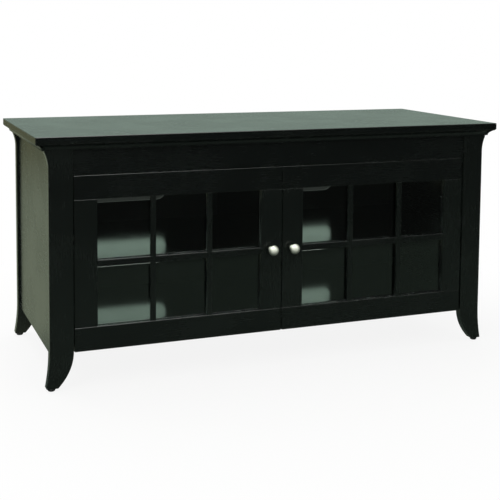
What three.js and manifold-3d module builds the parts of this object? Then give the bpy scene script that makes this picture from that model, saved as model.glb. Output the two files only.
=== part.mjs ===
// Media cabinet: a low two-door case on four thin posts with sabre feet, a slab top on a cove
// moulding, and two divided-light glass doors on concealed hinges.
// Millimetres, +Z up, +X to the right seen from the front, front towards -Y.
// The origin is at the bottom centre of the whole cabinet, on the floor.

import * as THREE from "three";
import { mergeVertices } from "three/addons/utils/BufferGeometryUtils.js";
import Module from "manifold-3d";

const wasm = await Module();
wasm.setup();

// ---------------------------------------------------------------- driving dimensions

const WIDTH = 1219; // slab top, side to side
const DEPTH = 508; // slab top, front to back
const HEIGHT = 593; // floor to the upper face of the slab
const SLAB = 17; // thickness of the slab top
const FIT = 0.3; // gap left between pieces that touch
const EASE = 1; // chamfer on the edges of the boards
const BOARD = 18; // thickness of the case boards

const POST_OUTER = 578; // half distance over the posts' straight outer edges
const POST_INNER = 522; // half distance between the posts' inner edges
const POST_DEPTH = 22; // thickness of a post, front to back
const POST_SETBACK = 19; // slab's front edge to the front posts' front face
const FOOT_BOTTOM = 7; // the wooden foot ends here, on its glide
const FOOT_START = 92; // the sabre curve of the foot begins here
const FOOT_SPLAY = 8.5; // how far the outer edge of the foot kicks out
const FOOT_SWEEP = 37; // how far the inner edge of the foot sweeps out
const FLARE_OUT = 10; // how far the head of a post flares out
const FLARE_BOTTOM = 518; // the flare begins here

const SIDE_INSET = 6.5; // side panel behind the posts' outer edge
const SIDE_BOTTOM = 78; // lower edge of the side panels
const COVE_HEIGHT = 16; // height of the cove moulding under the slab
const COVE_REVEAL = 2.5; // slab edge to the top of the moulding
const COVE_LIP = 2.2; // small square lip at the foot of the moulding

const DOOR_SETBACK = 22.5; // slab's front edge to the doors' front face
const DOOR_THICK = 18;
const DOOR_BOTTOM = 87;
const DOOR_TOP = 500;
const DOOR_GAP = 1; // half the gap between the doors
const DOOR_SIDE_GAP = 2; // door to post
const STILE = 55;
const RAIL = 56.5;
const MUNTIN = 13; // width of a vertical muntin
const MUNTIN_BAR = 16; // height of the horizontal muntin
const MUNTIN_MID = 292; // height of the horizontal muntin's middle
const MUNTIN_DEPTH = 10;
const RABBET = 8; // width of the glass rabbet round the opening
const GLASS = 3;

const CARCASS_FRONT = 42.5; // slab's front edge to the boards behind the doors
const BACK_FRONT = 480; // slab's front edge to the back panel
const BACK_THICK = 6;
const FLOOR_TOP = 114; // upper face of the bottom board
const SHELF_TOP = 300;
const SHELF_THICK = 16;

const SLOT_LENGTH = 240; // cable slots with round ends in the back panel
const SLOT_HEIGHT = 56;
const SLOT_LEFT_X = -283;
const SLOT_RIGHT_X = 238;
const SLOT_HEIGHTS = [201, 383]; // middles of the lower and upper slots

const KNOB_HEIGHT = 293.5;
const KNOB_PROJECTION = 22;
const KNOB_RADIUS = 13;

const HINGE_OFFSET = 100; // hinge middle from the top or bottom of its door
const CUP_RADIUS = 17.5;
const CUP_INSET = 22.5; // door edge to the middle of the hinge cup
const CUP_DEPTH = 11.5;

const ROUND = 20; // sides of a small round hole or pin

const FRONT = -DEPTH / 2;
const UNDER_SLAB = HEIGHT - SLAB;
const CASE_TOP = UNDER_SLAB - FIT;
const POST_FRONT = FRONT + POST_SETBACK;
const POST_BACK = POST_FRONT + POST_DEPTH;
const REAR_POST_FRONT = DEPTH / 2 - POST_DEPTH;
const SIDE_OUTER = POST_OUTER - SIDE_INSET;
const SIDE_INNER = SIDE_OUTER - BOARD;
const DOOR_FRONT = FRONT + DOOR_SETBACK;
const DOOR_BACK = DOOR_FRONT + DOOR_THICK;
const DOOR_OUTER = POST_INNER - DOOR_SIDE_GAP;
const OPENING = {
  inner: DOOR_GAP + STILE,
  outer: DOOR_OUTER - STILE,
  bottom: DOOR_BOTTOM + RAIL,
  top: DOOR_TOP - RAIL,
};
const GLASS_FRONT = DOOR_FRONT + MUNTIN_DEPTH + FIT;
const CARCASS_Y = FRONT + CARCASS_FRONT;
const BACK_Y = FRONT + BACK_FRONT;
const SIDES = { left: -1, right: 1 };

// ---------------------------------------------------------------- finishes

const FINISHES = {
  lacquer: { color: 0x1c1f1d, roughness: 0.35, metalness: 0 },
  edgeBoard: { color: 0x171a18, roughness: 0.45, metalness: 0 },
  hardboard: { color: 0x2a2c2a, roughness: 0.7, metalness: 0 },
  glass: { color: 0x4a524e, roughness: 0.05, metalness: 0, transparent: true, opacity: 0.35 },
  bead: { color: 0x111111, roughness: 0.6, metalness: 0 },
  nickel: { color: 0xc9cbc6, roughness: 0.3, metalness: 1 },
  steel: { color: 0x9a9c9c, roughness: 0.4, metalness: 1 },
  plastic: { color: 0x1d1d1d, roughness: 0.55, metalness: 0 },
};

const cabinet = new THREE.Group();

function addPiece(name, finish, geometry) {
  const piece = new THREE.Mesh(geometry, new THREE.MeshStandardMaterial(FINISHES[finish]));
  piece.name = name;
  cabinet.add(piece);
  return piece;
}

// ---------------------------------------------------------------- solids

// A closed geometry as a manifold solid.
function solidOf(geometry) {
  const bare = geometry.clone();
  bare.deleteAttribute("normal");
  bare.deleteAttribute("uv");
  const merged = mergeVertices(bare, 1e-4);
  return new wasm.Manifold(
    new wasm.Mesh({
      numProp: 3,
      vertProperties: new Float32Array(merged.attributes.position.array),
      triVerts: new Uint32Array(merged.index.array),
    }),
  );
}

// A manifold solid as a geometry with flat normals.
function geometryOf(solid) {
  const mesh = solid.getMesh();
  const geometry = new THREE.BufferGeometry();
  geometry.setAttribute("position", new THREE.BufferAttribute(mesh.vertProperties, 3));
  geometry.setIndex(new THREE.BufferAttribute(mesh.triVerts, 1));
  const flat = geometry.toNonIndexed();
  flat.computeVertexNormals();
  return flat;
}

// The base geometry with others joined to it and others cut out of it.
function shaped(base, joined = [], cuts = []) {
  let solid = solidOf(base);
  for (const piece of joined) solid = solid.add(solidOf(piece));
  for (const piece of cuts) solid = solid.subtract(solidOf(piece));
  return geometryOf(solid);
}

// A plain block between two corners.
function block([x0, x1], [y0, y1], [z0, z1]) {
  const geometry = new THREE.BoxGeometry(Math.abs(x1 - x0), Math.abs(y1 - y0), Math.abs(z1 - z0));
  return geometry.translate((x0 + x1) / 2, (y0 + y1) / 2, (z0 + z1) / 2);
}

// An outline in a plane, given thickness, with its front and back edges eased.
function eased(outline, thickness, ease) {
  return new THREE.ExtrudeGeometry(outline, {
    depth: thickness - 2 * ease,
    bevelEnabled: ease > 0,
    bevelSize: ease,
    bevelThickness: ease,
    bevelOffset: -ease,
    bevelSegments: 1,
    curveSegments: 12,
  }).translate(0, 0, ease);
}

// Turns an outline drawn in X and Z, and its thickness, to stand from yFront backwards.
function upright(outline, yFront, thickness, ease = EASE) {
  return eased(outline, thickness, ease).rotateX(Math.PI / 2).translate(0, yFront + thickness, 0);
}

// Turns an outline drawn in Y and Z, and its thickness, to stand from x0 to x0 + thickness.
function sideways(outline, x0, thickness, ease = EASE) {
  const toSide = new THREE.Matrix4().makeBasis(
    new THREE.Vector3(0, 1, 0),
    new THREE.Vector3(0, 0, 1),
    new THREE.Vector3(1, 0, 0),
  );
  return eased(outline, thickness, ease).applyMatrix4(toSide).translate(x0, 0, 0);
}

function rectangle(a0, a1, b0, b1) {
  const outline = new THREE.Shape();
  outline.moveTo(Math.min(a0, a1), b0);
  outline.lineTo(Math.max(a0, a1), b0);
  outline.lineTo(Math.max(a0, a1), b1);
  outline.lineTo(Math.min(a0, a1), b1);
  outline.closePath();
  return outline;
}

// A round bar or hole along one axis, from a start point, over a length.
function roundBar(axis, start, length, radius, sides = ROUND) {
  const geometry = new THREE.CylinderGeometry(radius, radius, length, sides);
  geometry.translate(0, length / 2, 0);
  if (axis === "x") geometry.rotateZ(-Math.PI / 2);
  if (axis === "z") geometry.rotateX(Math.PI / 2);
  return geometry.translate(...start);
}

// ---------------------------------------------------------------- top and moulding

function addTop() {
  const outline = rectangle(-WIDTH / 2, WIDTH / 2, -DEPTH / 2, DEPTH / 2);
  addPiece("top_panel", "lacquer", eased(outline, SLAB, 1.5).translate(0, 0, UNDER_SLAB));
}

// Section of the moulding: out is the distance in front of its back face.
function coveSection(backing) {
  const out = POST_SETBACK - COVE_REVEAL - FIT;
  const bottom = UNDER_SLAB - COVE_HEIGHT;
  const section = new THREE.Shape();
  section.moveTo(-backing, bottom);
  section.lineTo(COVE_LIP, bottom);
  section.lineTo(COVE_LIP, bottom + COVE_LIP);
  section.quadraticCurveTo(out - 10.4, CASE_TOP - 3.5, out, CASE_TOP - 1.6);
  section.lineTo(out, CASE_TOP);
  section.lineTo(-backing, CASE_TOP);
  section.closePath();
  return section;
}

function addMoulding() {
  const reach = POST_SETBACK - COVE_REVEAL - FIT;
  const corner = WIDTH / 2 - COVE_REVEAL;
  const faceX = corner - reach;
  const faceY = POST_FRONT - FIT;
  const backing = faceX - POST_OUTER - FIT;
  const plain = { depth: 2 * corner, bevelEnabled: false, curveSegments: 10 };

  // A block whose one face is the mitre plane through a front corner of the case. It fills
  // the corner side of that plane with out = 1, and the other side with out = -1.
  const mitre = (side, out, shift) => {
    const size = 120;
    const tool = new THREE.BoxGeometry(size, size, size);
    tool.translate((out * size) / 2, 0, 0).rotateZ(side > 0 ? Math.PI / 4 : (3 * Math.PI) / 4);
    return tool.translate(side * (corner + shift), FRONT + COVE_REVEAL, CASE_TOP);
  };

  const along = new THREE.Matrix4().makeBasis(
    new THREE.Vector3(0, -1, 0),
    new THREE.Vector3(0, 0, 1),
    new THREE.Vector3(-1, 0, 0),
  );
  const front = new THREE.ExtrudeGeometry(coveSection(0), plain);
  front.applyMatrix4(along).translate(corner, faceY, 0);
  const frontCuts = [mitre(1, 1, -FIT), mitre(-1, 1, -FIT)];
  addPiece("cove_moulding_front", "lacquer", shaped(front, [], frontCuts));

  for (const [name, side] of Object.entries(SIDES)) {
    const length = DEPTH - COVE_REVEAL;
    const run = new THREE.ExtrudeGeometry(coveSection(backing), { ...plain, depth: length });
    const turn = new THREE.Matrix4().makeBasis(
      new THREE.Vector3(1, 0, 0),
      new THREE.Vector3(0, 0, 1),
      new THREE.Vector3(0, -1, 0),
    );
    run.applyMatrix4(turn).translate(faceX, DEPTH / 2, 0);
    if (side < 0) run.rotateZ(Math.PI).translate(0, COVE_REVEAL, 0);
    const behindFront = block([0, side * (faceX + FIT)], [FRONT - 1, POST_FRONT], [500, 600]);
    const cuts = [mitre(side, -1, 0), behindFront];
    addPiece("cove_moulding_" + name, "lacquer", shaped(run, [], cuts));
  }
}

// ---------------------------------------------------------------- posts, feet and sides

// Outline of a post in X and Z for the right-hand side, outer edge towards +X.
function postOutline() {
  const ledge = UNDER_SLAB - COVE_HEIGHT - FIT;
  const outline = new THREE.Shape();
  outline.moveTo(POST_INNER, CASE_TOP);
  outline.lineTo(POST_INNER, FOOT_START);
  outline.quadraticCurveTo(
    POST_INNER, 45,
    POST_INNER + FOOT_SWEEP, FOOT_BOTTOM,
  );
  outline.lineTo(POST_OUTER + FOOT_SPLAY, FOOT_BOTTOM);
  outline.quadraticCurveTo(POST_OUTER, 50, POST_OUTER, FOOT_START);
  outline.lineTo(POST_OUTER, FLARE_BOTTOM);
  outline.quadraticCurveTo(
    POST_OUTER, (ledge + FLARE_BOTTOM) / 2,
    POST_OUTER + FLARE_OUT, ledge,
  );
  outline.lineTo(POST_OUTER, ledge);
  outline.lineTo(POST_OUTER, CASE_TOP);
  outline.closePath();
  return outline;
}

// The same outline for the left-hand side, drawn the other way round to stay anticlockwise.
function mirrored(outline) {
  const points = outline.getPoints(12).map((p) => new THREE.Vector2(-p.x, p.y));
  return new THREE.Shape(points.reverse());
}

function addPostsAndGlides() {
  const footMiddle = (POST_OUTER + FOOT_SPLAY + POST_INNER + FOOT_SWEEP) / 2;
  const nail = { radius: 1.2, hole: 1.6, length: 14 };
  for (const [row, yFront] of [["front", POST_FRONT], ["rear", REAR_POST_FRONT]]) {
    for (const [name, side] of Object.entries(SIDES)) {
      const outline = side > 0 ? postOutline() : mirrored(postOutline());
      const x = side * footMiddle;
      const y = yFront + POST_DEPTH / 2;
      const bore = roundBar("z", [x, y, FOOT_BOTTOM - 1], nail.length + 2, nail.hole, 12);
      const post = upright(outline, yFront, POST_DEPTH);
      addPiece("post_" + row + "_" + name, "lacquer", shaped(post, [], [bore]));

      // A nail-on glide: a domed button with its nail in one turned profile.
      const top = FOOT_BOTTOM - FIT;
      const profile = [
        [0, 0], [5.5, 0], [7.8, 1], [9, 3], [9, top - 1], [8, top],
        [nail.radius, top], [nail.radius, top + nail.length - 2], [0, top + nail.length],
      ].map(([r, z]) => new THREE.Vector2(r, z));
      const glide = new THREE.LatheGeometry(profile, 24).rotateX(Math.PI / 2).translate(x, y, 0);
      addPiece("glide_" + row + "_" + name, "plastic", glide);
    }
  }
}

// Shelf pin holes: two columns per side, three rows round the shelf.
const PIN = { radius: 2.5, hole: 2.9, depth: 7.5, holeDepth: 8, spacing: 32, flat: 3 };
const PIN_Y = [CARCASS_Y + 50, BACK_Y - 60];
const PIN_Z = SHELF_TOP - SHELF_THICK - PIN.flat - FIT + PIN.radius;

function pinHoles(faceX, inwards) {
  const start = inwards > 0 ? faceX - PIN.holeDepth : faceX;
  const rows = [-1, 0, 1].map((row) => PIN_Z - PIN.radius + row * PIN.spacing);
  return PIN_Y.flatMap((y) =>
    rows.map((z) => roundBar("x", [start, y, z], PIN.holeDepth, PIN.hole, 12)),
  );
}

function addSides() {
  for (const [name, side] of Object.entries(SIDES)) {
    const outline = rectangle(POST_BACK + FIT, REAR_POST_FRONT - FIT, SIDE_BOTTOM, CASE_TOP);
    const x0 = side > 0 ? SIDE_INNER : -SIDE_OUTER;
    const panel = sideways(outline, x0, BOARD);
    const holes = pinHoles(side * SIDE_INNER, -side);
    addPiece("side_panel_" + name, "lacquer", shaped(panel, [], holes));
  }
}

// ---------------------------------------------------------------- carcass boards

function addCarcass() {
  const friezeHalf = POST_INNER - FIT;
  const frieze = rectangle(-friezeHalf, friezeHalf, DOOR_TOP + 2, CASE_TOP);
  addPiece("frieze_rail", "lacquer", upright(frieze, DOOR_FRONT, BOARD));

  const half = SIDE_INNER - FIT;
  const boardBack = BACK_Y - FIT;
  const bottom = rectangle(-half, half, CARCASS_Y, boardBack);
  addPiece("bottom_board", "edgeBoard", eased(bottom, BOARD, 0.6).translate(0, 0, FLOOR_TOP - BOARD));

  // The partition is notched at its upper front corner to clear the door catch.
  const notchY = CARCASS_Y + 16;
  const notchZ = DOOR_TOP - 24;
  const partition = new THREE.Shape();
  partition.moveTo(CARCASS_Y, FLOOR_TOP + FIT);
  partition.lineTo(boardBack, FLOOR_TOP + FIT);
  partition.lineTo(boardBack, CASE_TOP);
  partition.lineTo(notchY, CASE_TOP);
  partition.lineTo(notchY, notchZ);
  partition.lineTo(CARCASS_Y, notchZ);
  partition.closePath();
  const divider = sideways(partition, -BOARD / 2, BOARD, 0.6);
  const dividerHoles = [...pinHoles(BOARD / 2, 1), ...pinHoles(-BOARD / 2, -1)];
  addPiece("centre_partition", "edgeBoard", shaped(divider, [], dividerHoles));

  const back = rectangle(-half, half, FLOOR_TOP - BOARD, CASE_TOP);
  for (const x of [SLOT_LEFT_X, SLOT_RIGHT_X]) {
    for (const z of SLOT_HEIGHTS) back.holes.push(slotPath(x, z));
  }
  const sheet = { depth: BACK_THICK, bevelEnabled: false, curveSegments: 16 };
  const backPanel = new THREE.ExtrudeGeometry(back, sheet);
  backPanel.rotateX(Math.PI / 2).translate(0, BACK_Y + BACK_THICK, 0);
  addPiece("back_panel", "hardboard", backPanel);
}

// A slot with half-round ends about a middle point.
function slotPath(x, z) {
  const radius = SLOT_HEIGHT / 2;
  const reach = SLOT_LENGTH / 2 - radius;
  const path = new THREE.Path();
  path.moveTo(x - reach, z - radius);
  path.lineTo(x + reach, z - radius);
  path.absarc(x + reach, z, radius, -Math.PI / 2, Math.PI / 2, false);
  path.lineTo(x - reach, z + radius);
  path.absarc(x - reach, z, radius, Math.PI / 2, (3 * Math.PI) / 2, false);
  return path;
}

function addShelves() {
  const inner = BOARD / 2 + 1;
  const outer = SIDE_INNER - 1;
  for (const [name, side] of Object.entries(SIDES)) {
    const outline = rectangle(side * inner, side * outer, CARCASS_Y, BACK_Y - 2);
    const shelf = eased(outline, SHELF_THICK, 0.6).translate(0, 0, SHELF_TOP - SHELF_THICK);
    addPiece("shelf_" + name, "edgeBoard", shelf);

    // Each pin is a round peg in its hole with a flat pad that the shelf rests on.
    const walls = { inner: [side * BOARD / 2, side], outer: [side * SIDE_INNER, -side] };
    for (const [wall, [faceX, into]] of Object.entries(walls)) {
      PIN_Y.forEach((y, i) => {
        const pegStart = into > 0 ? faceX - PIN.depth : faceX;
        const zMid = PIN_Z - PIN.radius;
        const peg = roundBar("x", [pegStart - (into < 0 ? 2 : 0), y, zMid], PIN.depth + 2, PIN.radius, 12);
        const near = faceX + into * FIT;
        const far = faceX + into * 9;
        const pad = block([near, far], [y - 4, y + 4], [zMid - 4, zMid + PIN.flat]);
        const row = i === 0 ? "front" : "rear";
        addPiece("shelf_pin_" + name + "_" + wall + "_" + row, "nickel", shaped(pad, [peg]));
      });
    }
  }
}

// ---------------------------------------------------------------- doors

function doorPiece(side, name, finish, geometry) {
  addPiece("door_" + (side < 0 ? "left" : "right") + "_" + name, finish, geometry);
}

// A frame member of a door between two distances from the cabinet's middle.
function doorBoard(side, [a, b], [z0, z1], thickness = DOOR_THICK) {
  return upright(rectangle(side * a, side * b, z0, z1), DOOR_FRONT, thickness);
}

function addDoorFrame(side) {
  const pocket = block(
    [side * (OPENING.inner - RABBET), side * (OPENING.outer + RABBET)],
    [DOOR_FRONT + MUNTIN_DEPTH, DOOR_BACK + 5],
    [OPENING.bottom - RABBET, OPENING.top + RABBET],
  );
  const span = [DOOR_GAP, DOOR_OUTER];
  const stileRun = [OPENING.bottom + FIT, OPENING.top - FIT];
  const cupX = side * (DOOR_OUTER - CUP_INSET);
  const cupBores = hingeHeights().map((z) =>
    roundBar("y", [cupX, DOOR_BACK - CUP_DEPTH - 0.5, z], CUP_DEPTH + 3, CUP_RADIUS + FIT, 32),
  );
  const knobX = side * (DOOR_GAP + STILE / 2);
  const knobBore = roundBar("y", [knobX, DOOR_FRONT - 2, KNOB_HEIGHT], 14, 2.4, 12);

  const topRail = doorBoard(side, span, [OPENING.top, DOOR_TOP]);
  doorPiece(side, "top_rail", "lacquer", shaped(topRail, [], [pocket]));
  const bottomRail = doorBoard(side, span, [DOOR_BOTTOM, OPENING.bottom]);
  doorPiece(side, "bottom_rail", "lacquer", shaped(bottomRail, [], [pocket]));
  const hingeStile = doorBoard(side, [OPENING.outer, DOOR_OUTER], stileRun);
  doorPiece(side, "hinge_stile", "lacquer", shaped(hingeStile, [], [pocket, ...cupBores]));
  const lockStile = doorBoard(side, [DOOR_GAP, OPENING.inner], stileRun);
  doorPiece(side, "lock_stile", "lacquer", shaped(lockStile, [], [pocket, knobBore]));
}

// Muntins are half-lapped where they cross: the upright ones run on in front.
function addMuntins(side) {
  const light = (OPENING.outer - OPENING.inner - 2 * MUNTIN) / 3;
  const middles = [1, 2].map((i) => OPENING.inner + i * light + (i - 0.5) * MUNTIN);
  const lap = DOOR_FRONT + MUNTIN_DEPTH / 2;
  const barLow = MUNTIN_MID - MUNTIN_BAR / 2;
  const barHigh = MUNTIN_MID + MUNTIN_BAR / 2;

  const barSpan = [OPENING.inner + FIT, OPENING.outer - FIT];
  const bar = doorBoard(side, barSpan, [barLow, barHigh], MUNTIN_DEPTH);
  const barNotches = middles.map((x) =>
    block(
      [side * (x - MUNTIN / 2 - FIT), side * (x + MUNTIN / 2 + FIT)],
      [DOOR_FRONT - 1, lap + FIT],
      [barLow - 1, barHigh + 1],
    ),
  );
  doorPiece(side, "muntin_horizontal", "lacquer", shaped(bar, [], barNotches));

  middles.forEach((x, i) => {
    const run = [OPENING.bottom + FIT, OPENING.top - FIT];
    const upstand = doorBoard(side, [x - MUNTIN / 2, x + MUNTIN / 2], run, MUNTIN_DEPTH);
    const notch = block(
      [side * (x - MUNTIN), side * (x + MUNTIN)],
      [lap, DOOR_FRONT + MUNTIN_DEPTH + 1],
      [barLow - FIT, barHigh + FIT],
    );
    const place = i === 0 ? "inner" : "outer";
    doorPiece(side, "muntin_vertical_" + place, "lacquer", shaped(upstand, [], [notch]));
  });
}

// One sheet of glass in the rabbet, and the ring of bead that holds it there.
function addGlazing(side) {
  const inset = RABBET - 0.5;
  const sheet = block(
    [side * (OPENING.inner - inset), side * (OPENING.outer + inset)],
    [GLASS_FRONT, GLASS_FRONT + GLASS],
    [OPENING.bottom - inset, OPENING.top + inset],
  );
  doorPiece(side, "glass", "glass", sheet);

  const [a, b] = [side * (OPENING.inner - inset), side * (OPENING.outer + inset)];
  const ring = rectangle(a, b, OPENING.bottom - inset, OPENING.top + inset);
  const [c, d] = [side * OPENING.inner, side * OPENING.outer];
  ring.holes.push(new THREE.Path(rectangle(c, d, OPENING.bottom, OPENING.top).getPoints()));
  const beadFront = GLASS_FRONT + GLASS + FIT;
  const beadThick = DOOR_BACK - 0.6 - beadFront;
  doorPiece(side, "glass_bead", "bead", upright(ring, beadFront, beadThick, 0.5));
}

function hingeHeights() {
  return [DOOR_BOTTOM + HINGE_OFFSET, DOOR_TOP - HINGE_OFFSET];
}

// A mushroom knob turned in one profile with the screw stud that holds it in the stile.
function addKnob(side) {
  const r = KNOB_RADIUS;
  const p = KNOB_PROJECTION;
  const profile = [
    [0, -10], [1.6, -9], [1.9, -7], [1.9, FIT], [8, FIT], [8.4, 1.2], [7.2, 2.6], [5.2, 5],
    [5, 8], [5.6, 11], [8.5, 12.6], [r - 0.8, 13.6], [r, 15.4], [r - 0.6, 17.8], [r - 2.6, 19.8],
    [r - 6, 21.2], [r - 9.5, p - 0.2], [0, p],
  ].map(([radius, out]) => new THREE.Vector2(radius, out));
  const knob = new THREE.LatheGeometry(profile, 36).rotateX(Math.PI);
  knob.translate(side * (DOOR_GAP + STILE / 2), DOOR_FRONT, KNOB_HEIGHT);
  doorPiece(side, "knob", "nickel", knob);
}

function addDoorHardware(side) {
  const cupX = side * (DOOR_OUTER - CUP_INSET);
  const bottomY = DOOR_BACK - CUP_DEPTH;
  hingeHeights().forEach((z, i) => {
    const place = i === 0 ? "lower" : "upper";
    const lip = CUP_DEPTH + 1.2;
    const profile = [
      [0, 0], [CUP_RADIUS, 0], [CUP_RADIUS, CUP_DEPTH + FIT], [CUP_RADIUS + 2, CUP_DEPTH + FIT],
      [CUP_RADIUS + 2, lip], [CUP_RADIUS - 1.2, lip], [CUP_RADIUS - 1.2, 1.2], [0, 1.2],
    ].map(([radius, out]) => new THREE.Vector2(radius, out));
    const cup = new THREE.LatheGeometry(profile, 32).translate(cupX, bottomY, z);
    const ear = (dz) =>
      block([cupX - 8, cupX + 8], [DOOR_BACK + FIT, DOOR_BACK + 1.2], [z + dz - 6, z + dz + 6]);
    doorPiece(side, "hinge_cup_" + place, "nickel", shaped(cup, [ear(23.5), ear(-23.5)]));
    addHingeArm(side, place, z);
  });

  const strike = rectangle(side * 8, side * 38, DOOR_TOP - 19, DOOR_TOP - 4);
  doorPiece(side, "strike_plate", "steel", upright(strike, DOOR_BACK + FIT, 1, 0.2));
}

// The fixed half of a hinge: a plate on the back of the post and an arm over the cup.
function addHingeArm(side, place, z) {
  const plateBack = POST_BACK + 3;
  const tipX = DOOR_OUTER - CUP_INSET + 6;
  const plate = block(
    [side * (POST_INNER + 2), side * (SIDE_INNER - 3)],
    [POST_BACK + FIT, plateBack],
    [z - 24, z + 24],
  );
  const arm = block([side * tipX, side * (SIDE_INNER - 5)], [plateBack - 0.5, plateBack + 8], [z - 7, z + 7]);
  const name = "hinge_arm_" + (side < 0 ? "left" : "right") + "_" + place;
  addPiece(name, "nickel", shaped(plate, [arm]));
}

// A double magnetic catch behind the frieze, in reach of both strike plates.
function addCatch() {
  const face = DOOR_BACK + 1.9;
  const back = face + 13;
  const profile = new THREE.Shape();
  profile.moveTo(face, DOOR_TOP - 20);
  profile.lineTo(back, DOOR_TOP - 20);
  profile.lineTo(back, DOOR_TOP + 16);
  profile.lineTo(DOOR_FRONT + BOARD + FIT, DOOR_TOP + 16);
  profile.lineTo(DOOR_FRONT + BOARD + FIT, DOOR_TOP + 3);
  profile.lineTo(face, DOOR_TOP + 3);
  profile.closePath();
  addPiece("magnetic_catch", "plastic", sideways(profile, -42, 84, 0.5));
}

// ---------------------------------------------------------------- assembly

addTop();
addMoulding();
addPostsAndGlides();
addSides();
addCarcass();
addShelves();
for (const side of Object.values(SIDES)) {
  addDoorFrame(side);
  addMuntins(side);
  addGlazing(side);
  addKnob(side);
  addDoorHardware(side);
}
addCatch();

export default cabinet;
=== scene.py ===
"""Media cabinet: satin black lacquer, divided-light glass doors and satin nickel knobs.

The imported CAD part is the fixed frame. Boards, posts, mouldings and fittings that catch light
on their edges are made again here as finer surfaces of the same size, and the others keep
their CAD mesh and get a finish. Lengths are in metres, in the row frame: +X to the right seen
from the front, +Y to the back, +Z up.
"""

from __future__ import annotations

import logging
import math
from dataclasses import dataclass
from enum import Enum

import bmesh
import bpy
import numpy as np
from mathutils import Matrix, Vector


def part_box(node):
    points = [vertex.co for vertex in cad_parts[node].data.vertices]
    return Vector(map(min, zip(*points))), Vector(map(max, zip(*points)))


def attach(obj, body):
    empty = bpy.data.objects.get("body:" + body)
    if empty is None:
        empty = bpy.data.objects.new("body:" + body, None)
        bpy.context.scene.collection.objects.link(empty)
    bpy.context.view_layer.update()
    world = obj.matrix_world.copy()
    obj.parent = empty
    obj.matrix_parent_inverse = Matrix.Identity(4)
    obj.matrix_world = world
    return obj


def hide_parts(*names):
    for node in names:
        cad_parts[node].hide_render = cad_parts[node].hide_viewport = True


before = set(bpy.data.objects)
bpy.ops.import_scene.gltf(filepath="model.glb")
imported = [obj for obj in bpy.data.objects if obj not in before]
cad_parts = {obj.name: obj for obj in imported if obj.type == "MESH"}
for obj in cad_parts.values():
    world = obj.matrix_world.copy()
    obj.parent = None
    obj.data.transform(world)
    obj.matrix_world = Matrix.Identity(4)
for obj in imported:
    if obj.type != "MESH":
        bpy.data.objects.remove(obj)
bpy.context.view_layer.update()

logging.basicConfig(level=logging.INFO, format="%(message)s")
log = logging.getLogger("media_cabinet")

MM = 0.001
# The angles at which a rounded edge is drawn.
QUARTER_TURN = np.linspace(0, math.pi / 2, 5)

Tree = bpy.types.NodeTree
Node = bpy.types.Node
Socket = bpy.types.NodeSocket
Piece = bpy.types.Object


# ------------------------------------------------------------------------------ node helpers


def linear(hex_colour: str) -> tuple[float, float, float, float]:
    """Turns an sRGB hex colour into linear light.

    Args:
        hex_colour: Six hex digits, with or without a leading '#'.

    Returns:
        Red, green, blue and an alpha of 1.
    """
    digits = hex_colour.lstrip("#")
    srgb = np.array([int(digits[i : i + 2], 16) for i in (0, 2, 4)]) / 255.0
    light = np.where(srgb <= 0.04045, srgb / 12.92, ((srgb + 0.055) / 1.055) ** 2.4)
    return (*light.tolist(), 1.0)


def add_node(tree: Tree, kind: str, inputs: dict | None = None, **settings: object) -> Node:
    """Adds one node with its settings, its constant inputs and the links into it.

    Args:
        tree: The node tree it goes into.
        kind: The node's type name.
        inputs: Input name or index to a constant, or to the output socket that feeds it.
        **settings: The node's own properties.

    Returns:
        The new node.
    """
    node = tree.nodes.new(kind)
    for name, value in settings.items():
        setattr(node, name, value)
    for socket, value in (inputs or {}).items():
        if isinstance(value, Socket):
            tree.links.new(value, node.inputs[socket])
        else:
            node.inputs[socket].default_value = value
    return node


def per_metre(size_mm: float) -> float:
    """Turns a feature size into a texture scale.

    Args:
        size_mm: How far across the features are, in millimetres.

    Returns:
        The scale, in features for each metre.
    """
    return 1.0 / (size_mm * MM)


# ------------------------------------------------------------------------------ finishes


class GrainAxis(Enum):
    """The direction in which a board's grain runs, as the stretch along X, Y and Z."""

    ALONG_X = (0.06, 1.0, 1.0)
    ALONG_Y = (1.0, 0.06, 1.0)
    ALONG_Z = (1.0, 1.0, 0.06)


@dataclass(frozen=True)
class Finish:
    """A surface finish. Each subclass builds its own material once."""

    name: str

    def build(self, tree: Tree) -> dict:
        """Makes the nodes that feed the material's Principled shader.

        Args:
            tree: The material's tree.

        Returns:
            Shader input to a constant, or to the output socket that feeds it.
        """
        raise NotImplementedError

    def material(self) -> bpy.types.Material:
        """Makes the material the first time it is asked for.

        Returns:
            The material.
        """
        found = bpy.data.materials.get(self.name)
        if found:
            return found
        made = bpy.data.materials.new(self.name)
        made.use_nodes = True
        tree = made.node_tree
        tree.nodes.clear()
        shader = add_node(tree, "ShaderNodeBsdfPrincipled", self.build(tree))
        add_node(tree, "ShaderNodeOutputMaterial", {"Surface": shader.outputs[0]})
        return made


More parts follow.
